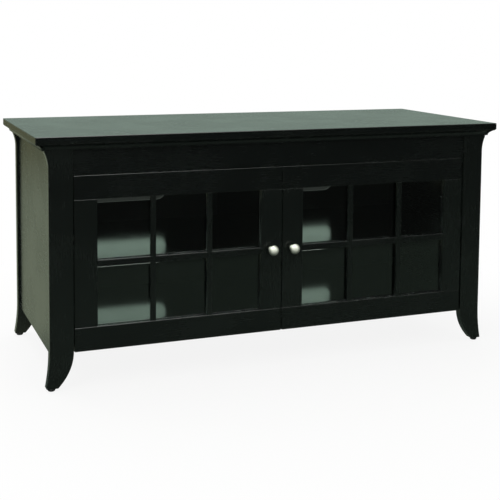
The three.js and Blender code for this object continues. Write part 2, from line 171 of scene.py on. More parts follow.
@dataclass(frozen=True)
class SatinLacquer(Finish):
    """Sprayed black satin nitrocellulose lacquer over stained wood.

    The film is nearly black with a green cast and has a soft shine. It follows the closed grain
    underneath as faint streaks, the spray leaves a fine orange peel, dust dulls it in clouds,
    and handling rubs the edges a little paler.
    """

    grain: GrainAxis
    body: str = "#070a09"
    cloud: str = "#0c100e"
    rubbed: str = "#20231f"
    gloss: float = 0.24
    grain_mm: float = 2.2
    peel_mm: float = 3.0
    cloud_mm: float = 140.0
    scuff_mm: float = 9.0
    haze_dulling: float = 0.05
    specular: float = 0.5

    def build(self, tree: Tree) -> dict:
        """Builds the lacquer, as Finish.build says."""
        place = add_node(tree, "ShaderNodeTexCoord").outputs["Object"]
        stretch = add_node(
            tree, "ShaderNodeMapping", {"Scale": self.grain.value, "Vector": place}
        ).outputs[0]
        noises = (
            (stretch, self.grain_mm, 4.0, 0.62),
            (place, self.peel_mm, 1.0, 0.4),
            (place, self.cloud_mm, 5.0, 0.6),
            (place, self.scuff_mm, 3.0, 0.7),
        )
        grain, peel, cloud, scuff = (
            add_node(
                tree,
                "ShaderNodeTexNoise",
                {"Scale": per_metre(size), "Detail": detail, "Roughness": fine, "Vector": where},
            ).outputs[0]
            for where, size, detail, fine in noises
        )
        # Each row is a value, the range it is taken from and the range it becomes.
        ranges = (
            (scuff, 0.42, 0.68, 0.15, 1.0),
            (cloud, 0.35, 0.7, 0.0, 1.0),
            (grain, 0.3, 0.75, 0.0, 0.45),
            (grain, 0.2, 0.8, self.gloss - 0.02, self.gloss + 0.03),
        )
        patchy, haze, streak, shine = (
            add_node(tree, "ShaderNodeMapRange", dict(enumerate(row))).outputs[0]
            for row in ranges
        )
        edge = add_node(tree, "ShaderNodeAttribute", attribute_name="edge").outputs["Fac"]
        rub = add_node(tree, "ShaderNodeMath", {0: edge, 1: patchy}, operation="MULTIPLY").outputs[0]
        tone = linear(self.body)
        for factor, colour in ((haze, self.cloud), (streak, self.cloud), (rub, self.rubbed)):
            inputs = {0: factor, 6: tone, 7: linear(colour)}
            tone = add_node(tree, "ShaderNodeMix", inputs, data_type="RGBA").outputs[2]
        inputs = {0: haze, 1: self.haze_dulling, 2: shine}
        rough = add_node(tree, "ShaderNodeMath", inputs, operation="MULTIPLY_ADD").outputs[0]
        streaks = add_node(
            tree, "ShaderNodeBump", {"Strength": 0.035, "Distance": 0.00006, "Height": grain}
        ).outputs[0]
        skin = add_node(
            tree,
            "ShaderNodeBump",
            {"Strength": 0.045, "Distance": 0.00005, "Height": peel, "Normal": streaks},
        ).outputs[0]
        return {
            "Base Color": tone, "Roughness": rough, "Specular IOR Level": self.specular, "Normal": skin
        }


@dataclass(frozen=True)
class Melamine(Finish):
    """Black melamine paper on particle board, pressed with a fine pebble.

    Harder and glossier than the lacquer, so it mirrors the light from the cable slots in long
    soft patches, with a dry dust film on its upper faces.
    """

    body: str = "#0f1110"
    dust: str = "#222523"
    gloss: float = 0.12
    pebble_mm: float = 1.6
    film_mm: float = 60.0
    specular: float = 0.6
    overlay: float = 0.5
    overlay_gloss: float = 0.12

    def build(self, tree: Tree) -> dict:
        """Builds the melamine, as Finish.build says."""
        place = add_node(tree, "ShaderNodeTexCoord").outputs["Object"]
        pebble = add_node(
            tree,
            "ShaderNodeTexVoronoi",
            {"Scale": per_metre(self.pebble_mm), "Vector": place},
            feature="SMOOTH_F1",
        ).outputs["Distance"]
        film = add_node(
            tree,
            "ShaderNodeTexNoise",
            {"Scale": per_metre(self.film_mm), "Detail": 6.0, "Roughness": 0.65, "Vector": place},
        ).outputs[0]
        facing = add_node(tree, "ShaderNodeNewGeometry").outputs["Normal"]
        upward = add_node(tree, "ShaderNodeSeparateXYZ", {0: facing}).outputs["Z"]
        # Each row is a value, the range it is taken from and the range it becomes.
        ranges = (
            (upward, 0.6, 1.0, 0.0, 1.0),
            (film, 0.4, 0.75, 0.05, 0.35),
            (film, 0.3, 0.75, self.gloss - 0.02, self.gloss + 0.06),
        )
        settled, amount, rough = (
            add_node(tree, "ShaderNodeMapRange", dict(enumerate(row))).outputs[0]
            for row in ranges
        )
        inputs = {0: settled, 1: amount}
        dusty = add_node(tree, "ShaderNodeMath", inputs, operation="MULTIPLY").outputs[0]
        inputs = {0: dusty, 6: linear(self.body), 7: linear(self.dust)}
        tone = add_node(tree, "ShaderNodeMix", inputs, data_type="RGBA").outputs[2]
        bump = add_node(
            tree, "ShaderNodeBump", {"Strength": 0.05, "Distance": 0.00003, "Height": pebble}
        ).outputs[0]
        return {
            "Base Color": tone,
            "Roughness": rough,
            "Specular IOR Level": self.specular,
            "Coat Weight": self.overlay,
            "Coat Roughness": self.overlay_gloss,
            "Normal": bump,
        }


@dataclass(frozen=True)
class PaintedHardboard(Finish):
    """Hardboard rolled with thin matt black paint.

    Pressed fibres show as a short felted texture, and the paint lies thinner on their tops.
    """

    body: str = "#1c1d1c"
    fibre: str = "#2e2d2a"
    fibre_mm: float = 2.4
    roller_mm: float = 90.0

    def build(self, tree: Tree) -> dict:
        """Builds the hardboard, as Finish.build says."""
        place = add_node(tree, "ShaderNodeTexCoord").outputs["Object"]
        felt, roller = (
            add_node(
                tree,
                "ShaderNodeTexNoise",
                {"Scale": per_metre(size), "Detail": detail, "Roughness": fine, "Vector": place},
            )
            for size, detail, fine in ((self.fibre_mm, 6.0, 0.7), (self.roller_mm, 3.0, 0.55))
        )
        felt.inputs["Distortion"].default_value = 1.2
        # Each row is a value, the range it is taken from and the range it becomes.
        ranges = (
            (felt.outputs[0], 0.5, 0.8, 0.0, 0.55),
            (roller.outputs[0], 0.3, 0.8, 0.0, 0.4),
            (felt.outputs[0], 0.3, 0.7, 0.48, 0.68),
        )
        thin, patch, rough = (
            add_node(tree, "ShaderNodeMapRange", dict(enumerate(row))).outputs[0]
            for row in ranges
        )
        tone = linear(self.body)
        for factor in (thin, patch):
            inputs = {0: factor, 6: tone, 7: linear(self.fibre)}
            tone = add_node(tree, "ShaderNodeMix", inputs, data_type="RGBA").outputs[2]
        inputs = {"Strength": 0.2, "Distance": 0.0001, "Height": felt.outputs[0]}
        bump = add_node(tree, "ShaderNodeBump", inputs).outputs[0]
        return {"Base Color": tone, "Roughness": rough, "Specular IOR Level": 0.25, "Normal": bump}


@dataclass(frozen=True)
class FloatGlass(Finish):
    """Clear 3 mm float glass.

    Nearly colourless with the faint green of its iron, mirror-smooth, with wiping marks that
    soften what it mirrors by a hair.
    """

    tint: str = "#f1f8f4"
    wipe_mm: float = 70.0
    haze: float = 0.035

    def build(self, tree: Tree) -> dict:
        """Builds the glass, as Finish.build says."""
        place = add_node(tree, "ShaderNodeTexCoord").outputs["Object"]
        inputs = {"Detail": 4.0, "Roughness": 0.6, "Distortion": 0.8, "Vector": place}
        inputs["Scale"] = per_metre(self.wipe_mm)
        wipe = add_node(tree, "ShaderNodeTexNoise", inputs).outputs[0]
        inputs = {0: wipe, 1: 0.5, 2: 0.8, 3: 0.0, 4: self.haze}
        return {
            "Base Color": linear(self.tint),
            "Transmission Weight": 1.0,
            "IOR": 1.5,
            "Roughness": add_node(tree, "ShaderNodeMapRange", inputs).outputs[0],
        }


@dataclass(frozen=True)
class SatinNickel(Finish):
    """Nickel plate brushed to a satin sheen.

    Warm grey metal that mirrors its surroundings softly, with fine turning lines and a
    faint darker bloom in patches.
    """

    body: str = "#92958a"
    bloom: str = "#777a70"
    gloss: float = 0.45
    line_mm: float = 3.0
    bloom_mm: float = 12.0

    def build(self, tree: Tree) -> dict:
        """Builds the nickel, as Finish.build says."""
        place = add_node(tree, "ShaderNodeTexCoord").outputs["Object"]
        lines = add_node(
            tree, "ShaderNodeMapping", {"Scale": (1.0, 14.0, 1.0), "Vector": place}
        ).outputs[0]
        turned, bloom = (
            add_node(
                tree,
                "ShaderNodeTexNoise",
                {"Scale": per_metre(size), "Detail": detail, "Roughness": 0.6, "Vector": where},
            ).outputs[0]
            for where, size, detail in ((lines, self.line_mm, 3.0), (place, self.bloom_mm, 4.0))
        )
        # Each row is a value, the range it is taken from and the range it becomes.
        ranges = ((bloom, 0.45, 0.8, 0.0, 0.6), (turned, 0.3, 0.7, self.gloss - 0.05, self.gloss + 0.07))
        dull, rough = (
            add_node(tree, "ShaderNodeMapRange", dict(enumerate(row))).outputs[0]
            for row in ranges
        )
        inputs = {0: dull, 6: linear(self.body), 7: linear(self.bloom)}
        tone = add_node(tree, "ShaderNodeMix", inputs, data_type="RGBA").outputs[2]
        bump = add_node(
            tree, "ShaderNodeBump", {"Strength": 0.15, "Distance": 0.00003, "Height": turned}
        ).outputs[0]
        return {"Base Color": tone, "Metallic": 1.0, "Roughness": rough, "Normal": bump}


@dataclass(frozen=True)
class ZincPlate(Finish):
    """Bright zinc on cold-rolled steel, pressed from sheet.

    Cool grey with a crystalline spangle, whose darker grains shine less.
    """

    body: str = "#a9acad"
    spangle: str = "#7d8285"
    spangle_mm: float = 2.5

    def build(self, tree: Tree) -> dict:
        """Builds the zinc, as Finish.build says."""
        place = add_node(tree, "ShaderNodeTexCoord").outputs["Object"]
        cells = add_node(
            tree, "ShaderNodeTexVoronoi", {"Scale": per_metre(self.spangle_mm), "Vector": place}
        ).outputs["Color"]
        grey = add_node(tree, "ShaderNodeRGBToBW", {0: cells}).outputs[0]
        inputs = {0: grey, 6: linear(self.body), 7: linear(self.spangle)}
        tone = add_node(tree, "ShaderNodeMix", inputs, data_type="RGBA").outputs[2]
        inputs = {0: grey, 1: 0.0, 2: 1.0, 3: 0.3, 4: 0.45}
        rough = add_node(tree, "ShaderNodeMapRange", inputs).outputs[0]
        return {"Base Color": tone, "Metallic": 1.0, "Roughness": rough}


@dataclass(frozen=True)
class MouldedPlastic(Finish):
    """Black injection-moulded plastic with a spark-eroded texture.

    Matt and even, with a fine grit that breaks up its highlights.
    """

    body: str = "#1b1b1c"
    pale: str = "#262627"
    grit_mm: float = 0.8

    def build(self, tree: Tree) -> dict:
        """Builds the plastic, as Finish.build says."""
        place = add_node(tree, "ShaderNodeTexCoord").outputs["Object"]
        inputs = {"Scale": per_metre(self.grit_mm), "Detail": 2.0, "Vector": place}
        grit = add_node(tree, "ShaderNodeTexNoise", inputs).outputs[0]
        # Each row is the range the grit is taken from and the range it becomes.
        paler, rough = (
            add_node(tree, "ShaderNodeMapRange", dict(enumerate((grit, *row)))).outputs[0]
            for row in ((0.4, 0.7, 0.0, 0.6), (0.3, 0.7, 0.45, 0.6))
        )
        inputs = {0: paler, 6: linear(self.body), 7: linear(self.pale)}
        tone = add_node(tree, "ShaderNodeMix", inputs, data_type="RGBA").outputs[2]
        bump = add_node(
            tree, "ShaderNodeBump", {"Strength": 0.25, "Distance": 0.00005, "Height": grit}
        ).outputs[0]
        return {"Base Color": tone, "Roughness": rough, "Normal": bump}


# Soft black sheen whose faint streaks run across the width: frieze, rails and muntins.
LACQUER_X = SatinLacquer("satin_black_lacquer_grain_across", GrainAxis.ALONG_X)
# The same film seen on the sides, where its streaks run from front to back.
LACQUER_Y = SatinLacquer("satin_black_lacquer_grain_back", GrainAxis.ALONG_Y)
# A touch paler on the posts and stiles, where upright grain takes less stain.
LACQUER_Z = SatinLacquer(
    "satin_black_lacquer_grain_up", GrainAxis.ALONG_Z, body="#0a0e0c", cloud="#101512"
)
# Rubbed out a little smoother on the slab, so it mirrors the room as a grey-green sheet.
TOP_LACQUER = SatinLacquer("satin_black_lacquer_top", GrainAxis.ALONG_X, gloss=0.22)
# Harder shine inside, with pale patches of light from the cable slots.
MELAMINE = Melamine("black_melamine_board")
# Dull felted black that keeps the back in the dark.
HARDBOARD = PaintedHardboard("painted_hardboard")
# Clear panes with a faint green cast and a thin mirror of the floor.
GLASS = FloatGlass("clear_float_glass")
# Soft warm-grey glow on the knobs.
NICKEL = SatinNickel("satin_nickel_plate")
# Brighter and smoother, on the hinges' cups and arms.
HINGE_NICKEL = SatinNickel("nickel_plated_steel", body="#b9b7b0", gloss=0.32)
# Cool speckled grey on the shelf pins and strike plates.
ZINC = ZincPlate("zinc_plated_steel")
# Flat black with a fine grit on the glides, beads and catch.
PLASTIC = MouldedPlastic("black_moulded_plastic")


# ------------------------------------------------------------------------------ surfaces


def rounded_outline(corners: np.ndarray, radius: float, steps: int = 3) -> np.ndarray:
    """Rounds the sharp corners of a closed outline.

    Each corner p between unit edges a (coming in) and b (going out) becomes the quadratic curve
    (1-s)^2 (p - t a) + 2 s (1-s) p + s^2 (p + t b), where t = radius * tan(half the turn).
    Corners that turn under 20 degrees are points of a curve and stay as they are.

    Args:
        corners: n x 2 points, anticlockwise.
        radius: Corner radius.
        steps: Segments in each rounded corner.

    Returns:
        m x 2 points, anticlockwise, with no doubled ones.
    """
    into = corners - np.roll(corners, 1, axis=0)
    into /= np.linalg.norm(into, axis=1, keepdims=True)
    out = np.roll(into, -1, axis=0)
    turn = np.arccos(np.clip((into * out).sum(1), -1, 1))
    reach = np.where(turn > math.radians(20), radius * np.tan(turn / 2), 0.0)[:, None, None]
    s = np.linspace(0, 1, steps + 1)[None, :, None]
    p = corners[:, None, :]
    first, last = p - reach * into[:, None, :], p + reach * out[:, None, :]
    curve = (1 - s) ** 2 * first + 2 * s * (1 - s) * p + s**2 * last
    points = curve.reshape(-1, 2)
    apart = np.linalg.norm(points - np.roll(points, 1, axis=0), axis=1) > 1e-7
    return points[apart]


def inset_outline(points: np.ndarray, distance: np.ndarray) -> np.ndarray:
    """Moves a closed outline inwards.

    Each point moves by distance against its mitre vector (n1 + n2) / (1 + n1 . n2), where n1 and
    n2 are the outward normals of the two edges that meet in it.

    Args:
        points: n x 2 points, anticlockwise.
        distance: k distances.

    Returns:
        k x n x 2 points, one outline for each distance.
    """
    edge = np.roll(points, -1, axis=0) - points
    edge /= np.linalg.norm(edge, axis=1, keepdims=True)
    normal = np.stack([edge[:, 1], -edge[:, 0]], axis=1)
    before = np.roll(normal, 1, axis=0)
    mitre = (normal + before) / (1 + (normal * before).sum(1, keepdims=True))
    return points[None] - distance[:, None, None] * mitre[None]


def grid_faces(rows: int, columns: int) -> np.ndarray:
    """Quads of a grid of points whose rows are closed rings.

    Args:
        rows: Rings in the grid.
        columns: Points in each ring.

    Returns:
        n x 4 point numbers.
    """
    i, j = np.meshgrid(np.arange(rows - 1), np.arange(columns))
    i, j = i.T.ravel(), j.T.ravel()
    k = (j + 1) % columns
    return np.stack([i * columns + j, i * columns + k, (i + 1) * columns + k, (i + 1) * columns + j], 1)


def capped_faces(rows: int, columns: int) -> list:
    """The quads of grid_faces, with a face across the first ring and one across the last.

    Args:
        rows: Rings in the grid.
        columns: Points in each ring.

    Returns:
        Lists of point numbers.
    """
    last = range((rows - 1) * columns, rows * columns)
    return grid_faces(rows, columns).tolist() + [list(range(columns))[::-1], list(last)]


def make_mesh(name: str, points: np.ndarray, faces: list, edge: np.ndarray | None = None) -> Piece:
    """Puts points and faces into a welded mesh whose faces point outwards.

    Args:
        name: The piece's name.
        points: n x 3 points.
        faces: Lists of point numbers.
        edge: n values from 0 to 1 that say where the finish is rubbed, or None.

    Returns:
        The new object, with smooth faces and weighted normals.
    """
    mesh = bpy.data.meshes.new(name)
    mesh.from_pydata(points.tolist(), [], faces)
    rubbed = mesh.attributes.new("edge", "FLOAT", "POINT")
    rubbed.data.foreach_set("value", (np.zeros(len(points)) if edge is None else edge).astype(np.float32))
    work = bmesh.new()
    work.from_mesh(mesh)
    bmesh.ops.remove_doubles(work, verts=work.verts, dist=1e-6)
    bmesh.ops.dissolve_degenerate(work, edges=work.edges, dist=1e-7)
    bmesh.ops.recalc_face_normals(work, faces=work.faces)
    work.to_mesh(mesh)
    work.free()
    mesh.shade_smooth()
    made = bpy.data.objects.new(name, mesh)
    bpy.context.scene.collection.objects.link(made)
    weighted = made.modifiers.new("weighted", "WEIGHTED_NORMAL")
    weighted.mode = "FACE_AREA"
    weighted.weight = 80
    return made


class Plane(Enum):
    """The two axes an outline is drawn in, and the axis its thickness runs along."""

    FRONT = (0, 2, 1)
    SIDE = (1, 2, 0)
    FLAT = (0, 1, 2)


def stacked_rings(
    name: str, rings: np.ndarray, along: np.ndarray, plane: Plane, worn: np.ndarray
) -> Piece:
    """A solid skinned over rings that lie one behind the other.

    Args:
        name: The piece's name.
        rings: rows x columns x 2 points.
        along: Where each ring lies along the thickness.
        plane: The axes of the rings and of the thickness.
        worn: How rubbed the finish is on each ring, from 0 to 1.

    Returns:
        The new object.
    """
    rows, columns = rings.shape[:2]
    a, b, c = plane.value
    points = np.zeros((rows, columns, 3))
    points[..., a], points[..., b] = rings[..., 0], rings[..., 1]
    points[..., c] = along[:, None]
    return make_mesh(name, points.reshape(-1, 3), capped_faces(rows, columns), np.repeat(worn, columns))


def eased_solid(
    name: str,
    outline: np.ndarray,
    depth: tuple[float, float],
    plane: Plane,
    ease: float,
) -> Piece:
    """An outline given thickness, with its edges rounded.

    The outline is carried through the thickness d. Over the first and the last ease of it the
    outline is drawn in by ease * (1 - sin t) at d = ease * (1 - cos t), a quarter circle.

    Args:
        name: The piece's name.
        outline: n x 2 points, anticlockwise.
        depth: Where the thickness begins and ends.
        plane: The axes of the outline and of the thickness.
        ease: Edge radius.

    Returns:
        The new object.
    """
    t, back = QUARTER_TURN, QUARTER_TURN[::-1]
    there_and_back = np.append(t, back)
    rings = inset_outline(outline, ease * (1 - np.sin(there_and_back)))
    along = np.append(depth[0] + ease * (1 - np.cos(t)), depth[1] - ease * (1 - np.cos(back)))
    return stacked_rings(name, rings, along, plane, np.sin(2 * there_and_back))


def box_outline(low: tuple[float, float], high: tuple[float, float], radius: float) -> np.ndarray:
    """A rectangle with rounded corners.

    Args:
        low: Its lower left corner.
        high: Its upper right corner.
        radius: Corner radius.

    Returns:
        n x 2 points, anticlockwise.
    """
    corners = np.array([low, (high[0], low[1]), high, (low[0], high[1])], float)
    return rounded_outline(corners, radius)


def eased_board(
    name: str, node: str, plane: Plane, ease: float, corner: float | None = None
) -> Piece:
    """A board with rounded edges that fills a CAD node's box.

    Args:
        name: The piece's name.
        node: The CAD node whose box it fills.
        plane: The axes of its face and of its thickness.
        ease: Edge radius round the face and the back.
        corner: Corner radius of the face, or None for half as much again as ease.

    Returns:
        The new object.
    """
    low, high = (np.array(p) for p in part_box(node))
    a, b, c = plane.value
    outline = box_outline((low[a], low[b]), (high[a], high[b]), corner or ease * 1.5)
    return eased_solid(name, outline, (low[c], high[c]), plane, ease)


def turned_solid(
    name: str,
    profile: np.ndarray,
    centre: tuple[float, float, float],
    axis: int,
    sign: float,
    steps: int,
) -> Piece:
    """A profile turned about an axis.

    A profile point (r, h) gives the circle centre + h * axis + r (cos u, sin u) across the axis.

    Args:
        name: The piece's name.
        profile: n x 2 radii and heights. It starts and ends on the axis or closes on itself.
        centre: The point at height 0.
        axis: 0, 1 or 2 for X, Y or Z.
        sign: 1 or -1, the way heights run along the axis.
        steps: Points round the circle.

    Returns:
        The new object.
    """
    u = np.linspace(0, 2 * math.pi, steps, endpoint=False)
    across = [i for i in range(3) if i != axis]
    points = np.zeros((len(profile), steps, 3))
    points[..., across[0]] = centre[across[0]] + profile[:, :1] * np.cos(u)
    points[..., across[1]] = centre[across[1]] + profile[:, :1] * np.sin(u)
    points[..., axis] = centre[axis] + sign * profile[:, 1:]
    return make_mesh(name, points.reshape(-1, 3), grid_faces(len(profile), steps).tolist())


def smooth_profile(knots: np.ndarray, steps: int = 6) -> np.ndarray:
    """A smooth curve through knots.

    Each span is the cubic through its two knots whose slope at a knot is half the step between
    that knot's neighbours (Catmull-Rom).

    Args:
        knots: n x 2 points.
        steps: Points made in each span.

    Returns:
        m x 2 points from the first knot to the last.
    """
    padded = np.vstack([knots[:1], knots, knots[-1:]])
    p0, p1, p2, p3 = padded[:-3], padded[1:-2], padded[2:-1], padded[3:]
    s = np.linspace(0, 1, steps, endpoint=False)[None, :, None]
    p0, p1, p2, p3 = (p[:, None, :] for p in (p0, p1, p2, p3))
    curve = 0.5 * (
        2 * p1 + (p2 - p0) * s + (2 * p0 - 5 * p1 + 4 * p2 - p3) * s**2 + (3 * p1 - p0 - 3 * p2 + p3) * s**3
    )
    return np.vstack([curve.reshape(-1, 2), knots[-1:]])


def curve_between(start: tuple, bend: tuple, end: tuple, steps: int) -> np.ndarray:
    """Points of the quadratic curve (1-s)^2 start + 2 s (1-s) bend + s^2 end.

    Args:
        start: The curve's first point.
        bend: The point that pulls it.
        end: The point it runs to, which is left out.
        steps: Points made.

    Returns:
        steps x 2 points.
    """
    s = np.linspace(0, 1, steps, endpoint=False)[:, None]
    start, bend, end = (np.array(p, float) for p in (start, bend, end))
    return (1 - s) ** 2 * start + 2 * s * (1 - s) * bend + s**2 * end


def dress(piece: Piece, finish: Finish, body: str, slot: str, *nodes: str) -> None:
    """Gives a piece its finish, and its place among the CAD nodes.

    Args:
        piece: The piece.
        finish: Its finish.
        body: The CAD body it rides on.
        slot: Not used.
        *nodes: The CAD nodes it stands for.
    """
    piece.data.materials.clear()
    piece.data.materials.append(finish.material())
    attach(piece, body)
    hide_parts(*nodes)


def refinish(node: str, finish: Finish) -> Piece:
    """Gives a CAD node that keeps its own mesh a better finish.

    Args:
        node: The node's name.
        finish: Its finish.

    Returns:
        The node's object.
    """
    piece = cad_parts[node]
    piece.data.materials.clear()
    piece.data.materials.append(finish.material())
    return piece


# ------------------------------------------------------------------------------ the cabinet


@dataclass
class SlabTop:
    """The slab top with its eased edge."""

    ease: float = 1.6 * MM
    corner: float = 2.4 * MM

    def build(self) -> None:
        """Makes the slab."""
        piece = eased_board("top_slab", "top_panel", Plane.FLAT, self.ease, self.corner)
        dress(piece, TOP_LACQUER, "case", "top_lacquer", "top_panel")
        log.info("slab top")


@dataclass
class CoveMoulding:
    """The cove moulding under the slab, mitred at the two front corners."""

    corner_x: float = 607.0 * MM
    edge_y: float = -251.5 * MM
    reach: float = 16.2 * MM
    top: float = 575.7 * MM
    bottom: float = 560.0 * MM
    lip: float = 2.2 * MM
    backing: float = 12.5 * MM
    rear_y: float = 254.0 * MM
    joint: float = 0.15 * MM

    def section(self, backing: float) -> np.ndarray:
        """The section's outline as distance out from the face and height.

        The hollow is a quadratic curve from the lip to the fillet under the slab.

        Args:
            backing: How far the section runs behind the face.

        Returns:
            n x 2 points, anticlockwise.
        """
        lip_top = self.bottom + self.lip
        hollow = curve_between(
            (self.lip, lip_top),
            (self.reach - 10.4 * MM, self.top - 3.5 * MM),
            (self.reach, self.top - 1.6 * MM),
            18,
        )
        fillet = [(self.reach, self.top - 1.6 * MM), (self.reach, self.top), (-backing, self.top)]
        start = [(-backing, self.bottom), (self.lip, self.bottom)]
        outline = np.vstack([start, hollow, fillet])
        return rounded_outline(outline, 0.35 * MM, 2)

    def run(self, name: str, side: int) -> Piece:
        """One piece of moulding: its section carried from end to end.

        Along the front the ends lie on the mitre planes, so a point that stands out by o ends at
        x = corner - (reach - o). A side piece runs from its mitre to the back.

        Args:
            name: The piece's name.
            side: 0 for the front piece, -1 or 1 for the left or right.

        Returns:
            The new object.
        """
        section = self.section(self.backing if side else 0.0)
        out, height = section[:, 0], section[:, 1]
        shy = self.reach - out
        ends = np.zeros((2, len(section), 3))
        ends[..., 2] = height
        if side == 0:
            ends[..., 1] = self.edge_y + shy
            end_x = self.corner_x - shy - self.joint
            ends[0, :, 0], ends[1, :, 0] = -end_x, end_x
        else:
            ends[..., 0] = side * (self.corner_x - shy)
            mitre_y = self.edge_y + np.minimum(shy, self.reach) + self.joint
            ends[0, :, 1], ends[1, :, 1] = mitre_y, self.rear_y
        return make_mesh(name, ends.reshape(-1, 3), capped_faces(2, len(section)))

    def build(self) -> None:
        """Makes the front piece and the two side pieces."""
        piece = self.run("cove_front", 0)
        dress(piece, LACQUER_X, "case", "case_lacquer", "cove_moulding_front")
        for label, side in (("left", -1), ("right", 1)):
            piece = self.run("cove_" + label, side)
            dress(piece, LACQUER_Y, "case", "case_lacquer", "cove_moulding_" + label)
        log.info("cove moulding")


@dataclass
class Posts:
    """The four posts with flared heads and sabre feet, and the glides under them."""

    outer: float = 578.0 * MM
    inner: float = 522.0 * MM
    top: float = 575.7 * MM
    ledge: float = 559.7 * MM
    flare_start: float = 518.0 * MM
    flare_out: float = 10.0 * MM
    foot_start: float = 92.0 * MM
    foot_bottom: float = 7.0 * MM
    splay: float = 8.5 * MM
    sweep: float = 37.0 * MM
    ease: float = 1.1 * MM

    def outline(self, side: int) -> np.ndarray:
        """A post's outline seen from the front, its flare and foot drawn as quadratic curves.

        Args:
            side: -1 for a left post, 1 for a right one.

        Returns:
            n x 2 points, anticlockwise.
        """
        heel = (self.inner + self.sweep, self.foot_bottom)
        toe = (self.outer + self.splay, self.foot_bottom)
        foot_inner = curve_between((self.inner, self.foot_start), (self.inner, 45 * MM), heel, 20)
        foot_outer = curve_between(toe, (self.outer, 50 * MM), (self.outer, self.foot_start), 14)
        bend = (self.outer, (self.ledge + self.flare_start) / 2)
        tip = (self.outer + self.flare_out, self.ledge)
        flare = curve_between((self.outer, self.flare_start), bend, tip, 8)
        neck = [tip, (self.outer, self.ledge), (self.outer, self.top)]
        foot = [[(self.inner, self.top)], foot_inner, [heel], foot_outer, [(self.outer, self.foot_start)]]
        outline = np.vstack([*foot, flare, neck])
        if side < 0:
            outline = (outline * (-1, 1))[::-1]
        return rounded_outline(outline, self.ease * 2.0, 3)

    def build(self) -> None:
        """Makes the posts and their glides."""
        for row in ("front", "rear"):
            for label, side in (("left", -1), ("right", 1)):
                node = f"post_{row}_{label}"
                low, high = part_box(node)
                outline, ends = self.outline(side), (low.y, high.y)
                piece = eased_solid(node + "_lacquered", outline, ends, Plane.FRONT, self.ease)
                dress(piece, LACQUER_Z, "case", "case_lacquer", node)
                self.glide(f"glide_{row}_{label}")
        log.info("posts and glides")

    def glide(self, node: str) -> None:
        """Makes a nail-on glide, a domed button.

        Args:
            node: The CAD node it stands for.
        """
        low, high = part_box(node)
        top = self.foot_bottom - 0.3 * MM
        knots = np.array(
            [(0, 0), (5.4, 0), (7.4, 0.7), (8.7, 2.4), (9.0, 4.2), (8.8, 5.6), (7.6, 6.5)]
        ) * MM
        head = smooth_profile(knots, 4)
        profile = np.vstack([head, [(1.2 * MM, top), (1.2 * MM, top + 12 * MM), (0, top + 14 * MM)]])
        centre = ((low.x + high.x) / 2, (low.y + high.y) / 2, 0.0)
        piece = turned_solid(node + "_moulded", profile, centre, 2, 1.0, 40)
        dress(piece, PLASTIC, "case", "glide_plastic", node)


@dataclass
class Case:
    """The boards between the posts: sides, frieze, bottom, partition and back."""

    ease: float = 1.2 * MM

    def build(self) -> None:
        """Makes the boards."""
        piece = eased_board("frieze", "frieze_rail", Plane.FRONT, self.ease)
        dress(piece, LACQUER_X, "case", "case_lacquer", "frieze_rail")
        piece = eased_board("floor_board", "bottom_board", Plane.FLAT, 0.6 * MM)
        dress(piece, MELAMINE, "case", "inner_board", "bottom_board")
        for label in ("left", "right"):
            refinish("side_panel_" + label, LACQUER_Y)
        refinish("centre_partition", MELAMINE)
        refinish("back_panel", HARDBOARD)
        log.info("case boards")


@dataclass
class Shelving:
    """The adjustable shelves on their pins."""

    ease: float = 0.7 * MM

    def build(self) -> None:
        """Makes the shelves and finishes the pins."""
        for label in ("left", "right"):
            node = "shelf_" + label
            piece = eased_board(node + "_laminated", node, Plane.FLAT, self.ease)
            dress(piece, MELAMINE, "case", "inner_board", node)
            for wall in ("inner", "outer"):
                for row in ("front", "rear"):
                    refinish(f"shelf_pin_{label}_{wall}_{row}", ZINC)
        log.info("shelves")


@dataclass
class Knob:
    """A turned mushroom knob."""

    radius: float = 13.0 * MM
    projection: float = 22.0 * MM

    def profile(self) -> np.ndarray:
        """The knob's outline, from the back of the collar to the crown.

        Returns:
            n x 2 radii and distances out from the door.
        """
        r, p = self.radius / MM, self.projection / MM
        collar = np.array([(0, 0.3), (8.0, 0.3)])
        stem = [(8.4, 0.9), (8.2, 1.8), (6.9, 3.0), (5.5, 5.2), (5.1, 8.0), (5.6, 10.6), (8.0, 12.3)]
        rim = [(r - 0.9, 13.5), (r, 15.4), (r - 0.5, 17.6)]
        crown = [(r - 2.6, 19.7), (r - 6.2, 21.2), (r - 9.8, p - 0.15), (0, p)]
        return np.vstack([collar, smooth_profile(np.array(stem + rim + crown, float), 5)]) * MM

    def build(self, side: int, label: str) -> None:
        """Makes the knob.

        Args:
            side: Not used.
            label: "left" or "right".
        """
        node = f"door_{label}_knob"
        low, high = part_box(node)
        centre = ((low.x + high.x) / 2, low.y + self.projection, (low.z + high.z) / 2)
        piece = turned_solid(f"knob_{label}", self.profile(), centre, 1, -1.0, 72)
        dress(piece, NICKEL, f"{label}_door", "knob_nickel", node)


